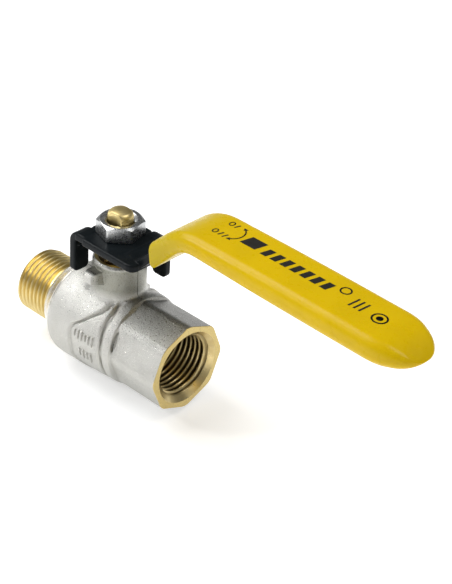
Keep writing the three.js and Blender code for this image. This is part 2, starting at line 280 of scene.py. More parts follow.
def isosurface(field, low, high, step):
    """Vertices and quads of the surface where field(x, y, z) is 0; it is negative inside.

    Each grid cell that the surface passes through gets one vertex, and each grid edge that it
    crosses gets a quad between the four cells round that edge.
    """
    axes = [np.arange(l - step, h + 2 * step, step, dtype=np.float32) for l, h in zip(low, high)]
    inside = field(*np.meshgrid(*axes, indexing="ij")) < 0
    starts, ends = slice(None, -1), slice(1, None)
    corners = itertools.product((starts, ends), repeat=3)
    count = sum(inside[corner].astype(np.int8) for corner in corners)
    mixed = (count > 0) & (count < 8)
    index = np.full(mixed.shape, -1, np.int64)
    cells = np.argwhere(mixed)
    index[mixed] = np.arange(len(cells))
    v = np.stack([axes[k][cells[:, k]] + step / 2 for k in range(3)], -1).astype(float)
    quads = []
    for k in range(3):
        a = [slice(None)] * 3
        b = [slice(None)] * 3
        a[k], b[k] = starts, ends
        start, end = inside[tuple(a)], inside[tuple(b)]
        p, q = [m for m in range(3) if m != k]
        edges = np.argwhere(start != end)
        edges = edges[(edges[:, p] > 0) & (edges[:, q] > 0)]
        edges = edges[(edges[:, p] < mixed.shape[p]) & (edges[:, q] < mixed.shape[q])]
        ring = []
        for dp, dq in ((0, 0), (1, 0), (1, 1), (0, 1)):
            c = edges.copy()
            c[:, p] -= dp
            c[:, q] -= dq
            ring.append(index[tuple(c.T)])
        ring = np.stack(ring, -1)
        flip = start[tuple(edges.T)] == (k == 1)
        ring[flip] = ring[flip][:, ::-1]
        quads.append(ring)
    quads = np.concatenate(quads)
    quads = quads[(quads >= 0).all(1)]
    v = settle(v, field, 4, step)
    for _ in range(2):
        v = settle(even_out(v, quads), field, 2, step)
    return v, quads


def cut(v, quads, planes):
    """Cuts away what lies beyond each (point, outward normal) plane, leaving it open."""
    mesh = bpy.data.meshes.new("cut")
    mesh.from_pydata([tuple(p) for p in v], [], quads.tolist())
    bm = bmesh.new()
    bm.from_mesh(mesh)
    bpy.data.meshes.remove(mesh)
    for point, normal in planes:
        everything = bm.verts[:] + bm.edges[:] + bm.faces[:]
        bmesh.ops.bisect_plane(
            bm, geom=everything, plane_co=point, plane_no=normal, clear_outer=True, dist=1e-4)
    return emptied(bm)


# ------------------------------------------------------------------ materials

X, Y, Z = range(3)
COLOUR_A, COLOUR_B, COLOUR_OUT = 6, 7, 2  # the colour sockets of a Mix node
NOISE_LOW, NOISE_HIGH = 0.3, 0.7  # nearly all of a noise lies between these


class Tree:
    """A node tree and short ways to add nodes to it."""

    def __init__(self, tree, coordinates):
        self.tree = tree
        self.place = self.add("ShaderNodeTexCoord").outputs[coordinates]

    def add(self, kind, **settings):
        node = self.tree.nodes.new(kind)
        for key, value in settings.items():
            setattr(node, key, value)
        return node

    def link(self, source, target):
        self.tree.links.new(source, target)

    def math(self, operation, a, b=0.0):
        node = self.add("ShaderNodeMath", operation=operation)
        for socket, value in zip(node.inputs, (a, b)):
            if isinstance(value, (int, float)):
                socket.default_value = value
            else:
                self.link(value, socket)
        return node.outputs[0]

    def product(self, total, *factors):
        for factor in factors:
            total = self.math("MULTIPLY", total, factor)
        return total

    def ramp(self, source, low, high, start=0.0, end=1.0):
        """Goes from start to end while the source goes from low to high."""
        node = self.add("ShaderNodeMapRange")
        limits = {"From Min": low, "From Max": high, "To Min": start, "To Max": end}
        for key, value in limits.items():
            node.inputs[key].default_value = value
        self.link(source, node.inputs["Value"])
        return node.outputs[0]

    def axis(self, k):
        node = self.add("ShaderNodeSeparateXYZ")
        self.link(self.place, node.inputs[0])
        return node.outputs[k]


class Material(Tree):
    """A principled material on the piece's own coordinates, with sizes in millimetres."""

    def __init__(self, name, colour, metallic, roughness, **sockets):
        self.material = bpy.data.materials.new(name)
        self.material.use_nodes = True
        super().__init__(self.material.node_tree, "Object")
        self.shader = self.tree.nodes["Principled BSDF"]
        self.shader.inputs["Base Color"].default_value = (*colour, 1)
        self.shader.inputs["Metallic"].default_value = metallic
        self.shader.inputs["Roughness"].default_value = roughness
        for key, value in sockets.items():
            self.shader.inputs[key.replace("_", " ")].default_value = value

    def noise(self, size, detail=3, roughness=0.5, stretch=(1, 1, 1)):
        """Noise with features of about that size."""
        mapping = self.add("ShaderNodeMapping")
        mapping.inputs["Scale"].default_value = [1000 / size / s for s in stretch]
        self.link(self.place, mapping.inputs["Vector"])
        node = self.add("ShaderNodeTexNoise")
        node.inputs["Scale"].default_value = 1
        node.inputs["Detail"].default_value = detail
        node.inputs["Roughness"].default_value = roughness
        self.link(mapping.outputs[0], node.inputs["Vector"])
        return node.outputs["Fac"]

    def span(self, source, low, high, start=0.0, end=1.0):
        """A ramp over a length."""
        return self.ramp(source, low / 1000, high / 1000, start, end)

    def along(self, k, low, high, start=0.0, end=1.0):
        """A ramp over part of an axis."""
        return self.span(self.axis(k), low, high, start, end)

    def radius_about_x(self):
        flat = self.add("ShaderNodeVectorMath", operation="MULTIPLY")
        self.link(self.place, flat.inputs[0])
        flat.inputs[1].default_value = (0, 1, 1)
        length = self.add("ShaderNodeVectorMath", operation="LENGTH")
        self.link(flat.outputs[0], length.inputs[0])
        return length.outputs["Value"]

    def mix(self, factor, a, b):
        node = self.add("ShaderNodeMix", data_type="RGBA")
        self.link(factor, node.inputs["Factor"])
        for socket, value in ((node.inputs[COLOUR_A], a), (node.inputs[COLOUR_B], b)):
            if isinstance(value, tuple):
                socket.default_value = (*value, 1)
            else:
                self.link(value, socket)
        return node.outputs[COLOUR_OUT]

    def mottled(self, size, detail, a, b, low=NOISE_LOW):
        """Cloudy patches from one colour to another."""
        return self.mix(self.ramp(self.noise(size, detail), low, NOISE_HIGH), a, b)

    def tint(self, tone, colour, strength, *masks):
        """Moves a tone towards a colour where all the masks are 1."""
        return self.mix(self.product(*masks, strength), tone, colour)

    def colour(self, source):
        self.link(source, self.shader.inputs["Base Color"])

    def roughness(self, noise, low, high):
        source = self.ramp(noise, NOISE_LOW, NOISE_HIGH, low, high)
        self.link(source, self.shader.inputs["Roughness"])

    def bump(self, height, depth):
        """Chains one more bump; height runs from 0 to 1."""
        node = self.add("ShaderNodeBump")
        node.inputs["Distance"].default_value = depth / 1000
        node.inputs["Strength"].default_value = 1.0
        self.link(height, node.inputs["Height"])
        normal = self.shader.inputs["Normal"]
        if normal.is_linked:
            self.link(normal.links[0].from_socket, node.inputs["Normal"])
        self.link(node.outputs[0], normal)


def nickel():
    """Blasted nickel plate, with painted shade and a painted reflection of the black lever
    darkening the tower, the octagon's upper flats, the near lug's top and the underside.
    """
    m = Material("nickel_blasted", (0.62, 0.61, 0.57), 1.0, 0.34)
    grain = m.noise(0.34, 2, 0.6)
    m.bump(grain, 0.25)
    m.bump(m.noise(1.6, 2), 0.05)
    m.roughness(grain, 0.24, 0.40)
    tone = m.mottled(5.0, 3, (0.67, 0.665, 0.63), (0.61, 0.605, 0.57), low=0.35)
    specks = m.ramp(m.noise(0.3, 3, 0.75), 0.48, 0.68)
    tone = m.tint(tone, (0.40, 0.39, 0.35), 0.25, specks)

    # painted shade and painted reflection of the lever above darken the tower, but not the near
    # lug's nose, and less so the rim
    above_barrel = m.along(Z, 14.5, 17.5)
    behind_nose = m.along(Y, -11.2, -9.8)
    below_rim = m.along(Z, 24.3, 24.9, 1, 0.2)
    tone = m.tint(tone, (0.20, 0.20, 0.15), 0.68, above_barrel, behind_nose, below_rim)

    # painted reflection of the black lever above darkens the octagon's upper flats, with pale dots
    # spotting them
    upper_flats = m.product(m.along(Z, 8.5, 12.5), m.along(X, 7.5, 10.5))
    tone = m.tint(tone, (0.18, 0.18, 0.16), 0.66, upper_flats)
    bright_dots = m.ramp(m.noise(0.26, 2, 0.8), 0.47, 0.64)
    tone = m.tint(tone, (0.72, 0.72, 0.70), 0.6, upper_flats, bright_dots)

    # painted shade: the body grows darker towards its bottom
    underside = m.along(Z, -11.5, 5, 1, 0)
    tone = m.tint(tone, (0.32, 0.32, 0.29), 0.78, underside)
    # painted reflection of the black plate above, nearly black on the near lug's top
    lug_top = m.product(m.along(Z, 22.8, 23.2), m.along(Y, -9.6, -10.4))
    tone = m.tint(tone, (0.05, 0.05, 0.045), 0.8, lug_top)

    # the die's parting line up the sides of the tower, 0.4 mm off the middle
    from_line = m.math("ABSOLUTE", m.math("ADD", m.axis(Y), 0.0004))
    on_line = m.span(from_line, 0.1, 0.18, 1, 0)
    on_sides = m.span(m.math("ABSOLUTE", m.axis(X)), 7.0, 7.4)
    on_tower = m.along(Z, 14.5, 15.5)
    m.colour(m.tint(tone, (0.10, 0.10, 0.09), 1.0, on_line, on_sides, on_tower))
    return m.material


def plated():
    """The smooth turned nickel of the collar."""
    m = Material("nickel_turned", (0.70, 0.68, 0.64), 1.0, 0.22)
    m.bump(m.noise(0.12, 2, stretch=(1, 60, 60)), 0.006)
    m.roughness(m.noise(2.0), 0.16, 0.30)
    return m.material


def brass(name, roughness):
    m = Material(name, (0.80, 0.65, 0.33), 1.0, roughness)
    m.bump(m.noise(0.5, 3), 0.0004)
    m.colour(m.mottled(3.0, 4, (0.74, 0.60, 0.28), (0.64, 0.50, 0.21), low=0.35))
    m.roughness(m.noise(2.0), roughness - 0.03, roughness + 0.05)
    return m.material


def bore_brass():
    """Brass of the female thread, with painted shade in the thread roots and deep inside, darkest
    in the upper part.
    """
    m = Material("brass_bore", (0.74, 0.60, 0.30), 1.0, 0.30)
    tone = m.mottled(3.0, 3, (0.76, 0.62, 0.32), (0.66, 0.52, 0.24), low=0.35)
    # painted shade in the thread roots, inside the mouth
    roots = m.span(m.radius_about_x(), 9.4, 10.1)
    inside_mouth = m.along(X, 28.5, 27.8)
    tone = m.tint(tone, (0.10, 0.07, 0.025), 0.85, roots, inside_mouth)
    # painted shade deeper into the bore and towards its upper part
    deep = m.along(X, 30, 16)
    upper_part = m.along(Z, -6, 2)
    m.colour(m.tint(tone, (0.08, 0.055, 0.02), 0.75, deep, upper_part))
    m.bump(m.noise(0.8, 3), 0.0005)
    m.roughness(m.noise(1.5), 0.26, 0.36)
    return m.material


def brass_face():
    """Brass faced on a lathe, with rings about the flow axis and small stains."""
    m = Material("brass_faced", (0.88, 0.75, 0.44), 1.0, 0.3)
    ring_spacing = 0.00022  # metres
    turns = m.math("MULTIPLY", m.radius_about_x(), 2 * math.pi / ring_spacing)
    m.bump(m.ramp(m.math("SINE", turns), -1, 1), 0.004)
    stain = m.ramp(m.noise(1.4, 5, 0.7), 0.60, 0.74)
    m.colour(m.mix(stain, (0.60, 0.475, 0.20), (0.28, 0.21, 0.09)))
    m.roughness(m.noise(0.5), 0.24, 0.40)
    return m.material


def black_paint():
    m = Material("black_paint", (0.005, 0.007, 0.009), 0.0, 0.3, Specular_IOR_Level=0.12)
    m.bump(m.noise(0.9, 3), 0.02)
    m.bump(m.noise(0.15, 2), 0.004)
    m.roughness(m.noise(3.0), 0.28, 0.42)
    m.colour(m.mottled(6.0, 4, (0.003, 0.005, 0.006), (0.005, 0.008, 0.010)))
    return m.material


def vinyl():
    m = Material("yellow_vinyl", (0.80, 0.54, 0.0), 0.0, 0.24, Specular_IOR_Level=0.20,
                 Subsurface_Weight=0.08, Subsurface_Scale=0.002)
    m.shader.inputs["Subsurface Radius"].default_value = (1.0, 0.6, 0.1)
    m.bump(m.noise(6.0, 2), 0.10)
    m.bump(m.noise(0.5, 2), 0.006)
    tone = m.mottled(9.0, 3, (0.76, 0.51, 0.0), (0.71, 0.475, 0.0))
    # painted shade: the sleeve is darker and greener down the neck, towards the plate
    m.colour(m.tint(tone, (0.34, 0.31, 0.0), 0.5, m.along(X, 26, 40, 1, 0)))
    m.roughness(m.noise(2.5), 0.24, 0.36)
    return m.material


def zinc():
    m = Material("zinc_plate", (0.58, 0.59, 0.59), 1.0, 0.28)
    m.bump(m.noise(0.35, 3, stretch=(1, 1, 5)), 0.003)
    m.bump(m.noise(1.5, 2), 0.006)
    m.roughness(m.noise(0.7), 0.22, 0.34)
    return m.material


def plain(name, colour, metallic, roughness, size=1.0, depth=0.01):
    """Slight bumps, cloudy colour and uneven gloss."""
    m = Material(name, colour, metallic, roughness)
    m.bump(m.noise(size, 3), depth)
    m.roughness(m.noise(size * 3), roughness * 0.8, roughness * 1.2)
    m.colour(m.mottled(size * 6, 3, colour, tuple(c * 0.9 for c in colour)))
    return m.material


NICKEL = nickel()
PLATED = plated()
BRASS = brass("brass_turned", 0.32)
STEM_BRASS = brass("brass_stem", 0.40)
BORE_BRASS = bore_brass()
BRASS_FACE = brass_face()
# the gland nut's brass is darkened as painted shade under the lever plate
SHADED_GLAND_BRASS = plain("brass_gland_painted_shade", (0.26, 0.19, 0.08), 1.0, 0.26, 0.5, 0.004)
BLACK = black_paint()
YELLOW = vinyl()
ZINC = zinc()
CHROME = plain("hard_chrome", (0.82, 0.82, 0.83), 1.0, 0.08, 2.0, 0.002)
PTFE = plain("ptfe_white", (0.86, 0.85, 0.82), 0.0, 0.45)
INK = plain("black_ink", (0.015, 0.014, 0.010), 0.0, 0.4, 0.4, 0.004)

# ------------------------------------------------------------------ valve body

# (x, radius) along the barrel and along the round shoulder of the female end
BARREL = [
    (-16.5, 14.3), (-16.15, 14.9), (-15.8, 15.25), (-15, 15.65), (-14, 15.87), (-12, 15.97),
    (-8, 15.88), (-4, 15.8), (0, 15.72), (4, 15.68), (6.5, 15.5),
]
SHOULDER = [
    (6.6, 12.6), (7.2, 14.2), (8.0, 14.85), (9.2, 14.95), (10.4, 14.75), (11.0, 14.5),
    (11.35, 13.7), (11.8, 12.4),
]
# (degrees round, x) of the chamber's forged edge at the side panel, and of the waist
PANEL_EDGE = [
    (90, 4.9), (106, 4.7), (120, 4.4), (133, 3.1), (144.5, 0.2), (155, -2.6), (162, -5.0),
    (167, -5.6), (180, -5.5), (196, -5.3), (210, -5.6), (222, -3.4), (235, -0.2), (247, 3.0),
    (262, 4.4), (270, 4.9),
]
WAIST = [
    (90, 5.9), (109, 6.1), (124, 6.75), (152, 6.65), (167, 7.0), (182, 7.4), (201, 7.6),
    (225, 7.3), (270, 6.9),
]
WAIST_BELOW = 6.9
PANEL_STEP = 0.38  # the chamber stands this much above the panel
PANEL_R = 15.38
GROOVE_DEPTH, GROOVE_WIDTH = 0.85, 0.55
GROOVE_FAINT = 0.35  # its strength along the panel's straight edge


def octagon_distance(y, z):
    """Octagon prism about X, with a corner on top."""
    r = np.hypot(y, z)
    off = np.abs(np.mod(np.degrees(np.arctan2(z, y)), 45) - 22.5)
    near = r * np.cos(np.radians(off))
    next_flat = r * np.cos(np.radians(45 - off))
    return soft_max(near, next_flat, OCTAGON_EDGE) - APOTHEM


def barrel_field(x, rho, around, waist):
    """The ball's chamber as far as the waist, with a groove round its side panel."""
    along = x - curve(around, PANEL_EDGE)
    # the groove is deep on the two slanted runs of the edge
    upper_run = step_up((168 - around) / 12) * step_up((around - 95) / 8)
    lower_run = step_up((around - 212) / 12)
    groove = GROOVE_FAINT + (1 - GROOVE_FAINT) * np.maximum(upper_run, lower_run)
    radius = curve(x, BARREL) - PANEL_STEP * step_up((along + 0.4) / 0.7)
    radius = radius - GROOVE_DEPTH * groove * np.exp(-((along - 0.3) / GROOVE_WIDTH) ** 2)
    return soft_max((rho - radius) * 0.97, x - waist + 0.35, 1.0)


def female_end_field(x, y, z, rho, waist):
    """The octagon and the round shoulder before it, which follows the waist on its near side."""
    shoulder_end, shoulder_width = 11.5, 4.5
    follows = np.clip((shoulder_end - x) / shoulder_width, 0, 1)
    shifted = x - (waist - WAIST_BELOW) * follows
    shoulder = (rho - curve(shifted, SHOULDER)) * 0.7
    octagon = soft_max(octagon_distance(y, z), 6.0 - x, 0.3)
    return soft_min(shoulder, octagon, 0.12)


def tower_field(x, y, z):
    edge, foot = 0.65, 4
    pipe = np.hypot(x, y)
    chamfer = (pipe + z - TOWER_R - TOWER_TOP + edge) * 0.7071
    tower = soft_max(pipe - TOWER_R, chamfer, 0.1)
    return soft_max(tower, foot - z, 0.3)


def near_lug_field(x, y, z):
    """Stop lug: flat top, slanted sides, bulging nose, underside rising outwards."""
    lug = round_box(x, y, z, (-5.0, -12.6, 17.0), (3.0, -6.0, LUG_TOP), 0.4)
    plus_side = x - 0.6 - 0.24 * (y + 11.1) - 0.15 * (LUG_TOP - z)
    minus_side = -3.0 - 0.18 * (y + 11.4) - x
    lug = soft_max(soft_max(lug, plus_side * 0.95, 0.3), minus_side * 0.97, 0.3)
    nose = np.hypot(np.maximum(-8.9 - y, 0) / 3.6, np.maximum(z - 20.9, 0) / 3.0) - 1
    corner = np.hypot(np.maximum(-1.8 - x, 0), np.maximum(-11.0 - y, 0)) - 1.5
    underside = (18.9 - z) * 0.97 - (y + 7.0) * 0.22
    lug = soft_max(soft_max(lug, nose * 3.2, 0.4), corner, 0.2)
    return soft_max(lug, underside, 0.4)


def body_field(x, y, z):
    rho = np.hypot(y, z)
    # the far side mirrors the near one
    around = np.mod(np.degrees(np.arctan2(z, -np.abs(y))), 360)
    waist = curve(around, WAIST)
    barrel = barrel_field(x, rho, around, waist)
    shape = soft_min(barrel, female_end_field(x, y, z, rho, waist), 0.12)
    # a short slot where the round shoulder meets the side flat
    slot = 1 - np.hypot((x - 11.5) / 0.5, (around - 157) / 14)
    shape = soft_max(shape, np.where(rho > 12.9, slot * 0.5, -1), 0.1)
    shape = soft_min(shape, tower_field(x, y, z), 1.1)
    shape = soft_min(shape, near_lug_field(x, y, z), 0.25)
    far_lug = round_box(x, y, z, (-3.9, 6.0, 20.8), (5.0, 12.5, LUG_TOP), 0.45)
    return soft_min(shape, far_lug, 0.4)


def make_forging():
    step = BODY_STEP
    v, quads = isosurface(body_field, (-17.0, -16.5, -16.5), (30.6, 16.5, 26.4), step)
    v, faces = cut(v, quads, [
        ((BODY_END, 0, 0), (-1, 0, 0)),
        ((FEMALE_FACE - FACE_EDGE, 0, 0), (1, 0, 0)),
        ((0, 0, TOWER_TOP), (0, 0, 1)),
    ])
    mesh_object("body_forging", v, faces, NICKEL, "valve", replaces=["valve_body"],
                slot="nickel_plated_brass")


def octagon_ring(x, inset, count):
    """The octagon's outline at x, moved inwards."""
    angle = full_turn(count)
    c, s = np.cos(angle), np.sin(angle)
    r = np.full(count, APOTHEM)
    for _ in range(30):
        r = r - octagon_distance(r * c, r * s)
    r = r - inset
    return np.stack([np.full(count, x), r * c, r * s], -1)


def make_female_face():
    """The faced female end: a broken edge and a flat ring in to the mouth."""
    count = 256
    angle = full_turn(count)
    rings = [
        octagon_ring(FEMALE_FACE - FACE_EDGE, 0, count),
        octagon_ring(FEMALE_FACE, 0.10, count),
    ]
    outer = rings[-1]
    mouth = np.full(count, FEMALE_FACE), MOUTH_R * np.cos(angle), MOUTH_R * np.sin(angle)
    inner = np.stack(mouth, -1)
    for t in (0.25, 0.5, 0.75, 1):
        rings.append(outer * (1 - t) + inner * t)
    faces = grid_faces(len(rings), count, flip=True)
    mesh_object("body_female_face", np.concatenate(rings), faces, BRASS_FACE, "valve", 25,
                slot="bare_brass")


def whitworth(phase):
    """Thread height, 0 at the root and 1 at the crest, with rounded roots and crests."""
    root, flank, rounding = 0.06, 0.84, 0.8
    t = np.abs(np.mod(phase, 1) * 2 - 1)
    rise = np.clip((t - root) / flank, 0, 1)
    return step_up(rise) * rounding + rise * (1 - rounding)


def thread_surface(x0, x1, radius_at, flip=False):
    """Screw surface about X: radius_at(x, height) gives the radius."""
    count, rows_per_pitch = 192, 18
    rows = int((x1 - x0) / PITCH * rows_per_pitch) + 1
    x, angle = np.meshgrid(np.linspace(x0, x1, rows), full_turn(count), indexing="ij")
    r = radius_at(x, whitworth(x / PITCH - angle / (2 * math.pi)))
    v = np.stack([x, r * np.cos(angle), r * np.sin(angle)], -1)
    return v.reshape(-1, 3), grid_faces(rows, count, flip=flip)


def make_bore():
    """Female thread with its countersunk mouth, the flow bore and the ball's chamber."""
    thread_start = 13.9
    bore_r = BORE_R + 0.1

    def female(x, height):
        run_out = step_up((x - thread_start - 0.4) / 1.2)
        r = MAJOR_R - THREAD_DEPTH * (1 - (1 - height) * run_out)
        return np.maximum(r, MOUTH_R - (FEMALE_FACE - x))

    thread = thread_surface(thread_start, FEMALE_FACE, female, flip=True)
    bore = around_x([
        (10.5, bore_r), (13.6, bore_r), (thread_start, 8.2), (thread_start, MINOR_R),
    ], flip=True)
    pocket = around_x([
        (-15.9, CHAMBER_R), (5.1, CHAMBER_R), (5.1, 10.62), (10.5, 10.62), (10.5, bore_r),
    ], flip=True)
    mesh_object("body_female_thread", *joined([thread, bore, pocket]), BORE_BRASS, "valve", 60,
                slot="bare_brass")


def make_marks():
    """Raised bars on the side panel, in two rows."""
    # first x, spacing, degrees round, half length of each bar
    mark_rows = (
        (-3.4, 1.5, 170.0, (1.35, 1.75, 1.75, 1.35, 1.75, 1.75)),
        (-1.2, 1.6, 193.0, (1.5, 1.9, 1.5, 1.9)),
    )
    # across a bar: place as a share of its half width, height above the panel
    profile = [(-1.0, -0.35), (-0.97, 0.0), (-0.8, 0.36), (-0.6, 0.46)]
    profile += [(-u, h) for u, h in profile[::-1]]
    half_width, sunk, sections = 0.42, 0.35, 15

    def bar(centre, angle, half):
        points = []
        for i in range(sections):
            t = -1 + 2 * i / (sections - 1)
            fade = 1 - abs(t) ** 10
            a = math.radians(angle + math.degrees(t * half / 15.5))
            for u, h in profile:
                x = centre + u * half_width * (0.75 + 0.25 * fade)
                r = PANEL_R + (h * fade if h > 0 else h) - sunk * (1 - fade)
                points.append((x, r * math.cos(a), r * math.sin(a)))
        return points, grid_faces(sections, len(profile), wrap_columns=False)

    bars = [
        bar(first + spacing * i, angle, half)
        for first, spacing, angle, halves in mark_rows for i, half in enumerate(halves)
    ]
    mesh_object("panel_bars", *joined(bars), NICKEL, "valve", slot="nickel_plated_brass")


def make_body():
    make_forging()
    make_female_face()
    make_bore()
    tower_seat = around_z([
        (TOWER_TOP, TOWER_R - 0.62), (TOWER_TOP, 6.6), (TOWER_TOP - 0.25, 6.42), (20.5, 6.42),
        (20.5, 6.1), (16.2, 6.1), (16.2, 4.1), (14.8, 4.1),
    ], flip=True)
    mesh_object("body_tower_seat", *tower_seat, BRASS, "valve", 30, slot="bare_brass")
    end_lip = around_x([(-15.9, CHAMBER_R), (BODY_END, 11.7), (BODY_END, 14.92)])
    mesh_object("body_end_lip", *end_lip, PLATED, "valve", 30, slot="nickel_plated_brass")
    make_marks()


# ------------------------------------------------------------------ end adapter


def make_adapter():
    """Male thread with a chamfered end, the bore with its seat pocket, and the plated collar."""
    chamfer_r = 9.58
    thread_end, collar_end = -22.1, -21.98
    neck_r = MAJOR_R + 0.02

    def male(x, height):
        run_out = step_up((thread_end - 0.6 - x) / 0.9)
        r = MAJOR_R - THREAD_DEPTH * (1 - height) * run_out
        return np.minimum(r, chamfer_r + (x - MALE_FACE))

    thread = thread_surface(MALE_FACE, thread_end, male)
    end = around_x([
        (-20.0, BORE_R), (MALE_FACE + 0.4, BORE_R), (MALE_FACE, BORE_R + 0.35), (MALE_FACE, 8.8),
        (MALE_FACE, chamfer_r),
    ])
    neck = around_x([(thread_end, MAJOR_R), (collar_end, neck_r)])
    inside = around_x([
        (-5.3, 11.25), (-5.3, 10.6), (-10.5, 10.6), (-10.5, BORE_R), (-20.0, BORE_R),
    ])
    mesh_object("adapter_thread", *joined([thread, end, neck, inside]), BRASS, "valve", 75,
                replaces=["end_adapter"], slot="bare_brass")
    collar = around_x([
        (collar_end, neck_r), (-22.0, 10.95), (-21.95, 11.1), (-21.6, 11.5), (-21.3, 11.7),
        (-21, 11.87), (-20, 12.4), (-19, 13.03), (-18, 13.72), (-17.2, 14.28), (-16.75, 14.56),
        (-16.55, 14.65), (-16.4, 14.62), (-16.3, 14.5), (-16.27, 14.3), (-16.27, 11.25),
        (-5.3, 11.25),
    ])
    mesh_object("adapter_collar", *collar, PLATED, "valve", 35, slot="nickel_plated_brass")


# ------------------------------------------------------------------ lever

FIRST_BEND_STEPS = 12
PLATE = [
    (-8.4, -10.1), (-5.2, -10.1), (-4.6, -11.0), (14.0, -11.0), (15.3, -10.7), (16.2, -9.9),
    (16.5, -8.6), (16.5, 7.9), (13.2, 8.4), (11.6, 8.2), (11.2, 7.2), (5.3, 7.2), (4.9, 8.1),
    (-4.4, 8.1), (-6.6, 7.4), (-7.9, 5.8), (-8.4, 3.6), (-8.4, -3.7), (-8.0, -4.2), (-8.0, -10.1),
]


def strip_line(end_x):
    """Centre line of the bent strip in (x, z), with headings."""
    x, z, heading = 10.0, PLATE_TOP - STEEL / 2, 0.0
    line = [(x, z, heading)]

    def straight(length):
        nonlocal x, z
        x += length * math.cos(heading)
        z += length * math.sin(heading)
        line.append((x, z, heading))

    def bend(degrees, radius, steps):
        nonlocal x, z, heading
        step = math.radians(degrees) / steps
        chord = 2 * radius * math.sin(abs(step) / 2)
        for _ in range(steps):
            x += chord * math.cos(heading + step / 2)
            z += chord * math.sin(heading + step / 2)
            heading += step
            line.append((x, z, heading))

    straight(3.2)
    bend(45.4, 4.75, FIRST_BEND_STEPS)
    straight(15.75)
    bend(-46.9, 14.5, 24)
    straight((end_x - x) / math.cos(heading))
    return line


def ear_field(out, side, z, reach, side0, side1, foot):
    """A sheet ear that turns down from the plate: out is the distance from the stem axis."""
    bend_r, corner, overlap = 3.5, 1.6, 2
    centre, centre_z = reach - bend_r, PLATE_TOP - bend_r
    middle, level = reach - STEEL / 2, PLATE_TOP - STEEL / 2
    to_centre = np.hypot(out - centre, z - centre_z)
    in_plate = np.hypot(np.maximum(centre - overlap - out, 0), z - level)
    in_bend = np.abs(to_centre - (bend_r - STEEL / 2))
    upright = np.abs(out - middle)
    under_plate = to_centre + 0.5
    sheet = np.where(
        z < centre_z,
        np.where(out < centre, under_plate, upright),
        np.where(out < centre, in_plate, in_bend),
    )
    across = np.abs(side - (side0 + side1) / 2) - (side1 - side0) / 2 + corner
    down = foot + corner - z
    beyond = np.hypot(np.maximum(across, 0), np.maximum(down, 0))
    outline = beyond + np.minimum(np.maximum(across, down), 0) - corner
    return soft_max(sheet - STEEL / 2, outline, 0.7)


def lever_field(x, y, z):
    plate_thickness = np.abs(z - PLATE_TOP + STEEL / 2) - STEEL / 2
    plate = soft_max(polygon_distance(x, y, PLATE) - 0.05, plate_thickness, 0.7)
    rear = ear_field(-x, y, z, 11.45, -10.1, -4.2, 19.15)
    side = ear_field(y, x, z, 10.7, 5.3, 11.0, 18.6)
    strip_end, past_end = 33, 40
    line = [(a, b) for a, b, _ in strip_line(past_end)]
    strip = soft_max(line_distance(x, z, line) - STEEL / 2, np.abs(y) - STRIP_HALF, 0.7)
    strip = soft_max(strip, x - strip_end, 0.3)
    shape = soft_min(soft_min(plate, rear, 0.3), soft_min(side, strip, 0.8), 0.3)
    hole = np.maximum(np.hypot(x, y) - HOLE_R, np.abs(y) - HOLE_FLAT)
    return np.maximum(shape, -hole)


def make_lever():
    step = BODY_STEP
    v, quads = isosurface(lever_field, (-12, -11.5, 19), (33.5, 11.2, 50), step)
    mesh_object("lever_plate", v, quads.tolist(), BLACK, "lever_assembly", replaces=["lever"],
                slot="black_steel")


# ------------------------------------------------------------------ sleeve


def rounded_rectangle(half_width, half_height, corner):
    """(across, up) points, always as many round each corner and along each side."""
    arc_points, side_points = 20, 4
    corner = min(corner, half_width * 0.999, half_height * 0.999)

    def on_corner(k, a):
        across = (half_width - corner) * (1 if k % 4 in (0, 3) else -1)
        up = (half_height - corner) * (1 if k % 4 in (0, 1) else -1)
        return across + corner * math.cos(a), up + corner * math.sin(a)

    points = []
    for k in range(4):
        for i in range(arc_points):
            points.append(on_corner(k, math.pi / 2 * (k + i / (arc_points - 1))))
        a = math.pi / 2 * (k + 1)
        start, end = on_corner(k, a), on_corner(k + 1, a)
        for i in range(1, side_points + 1):
            t = i / (side_points + 1)
            points.append((start[0] * (1 - t) + end[0] * t, start[1] * (1 - t) + end[1] * t))
    return points


def centre_at(s, line):
    """Point and heading at distance s along the centre line."""
    for (ax, az, ah), (bx, bz, bh) in zip(line, line[1:]):
        length = math.hypot(bx - ax, bz - az)
        if s <= length or (bx, bz, bh) == line[-1]:
            t = s / length
            return ax + (bx - ax) * t, az + (bz - az) * t, ah + (bh - ah) * t
        s -= length


def sleeve_thickness(x):
    return float(curve(np.array(x), [(22, 6.5), (34, 6.5), (62, 7.3), (113, 7.3)]))


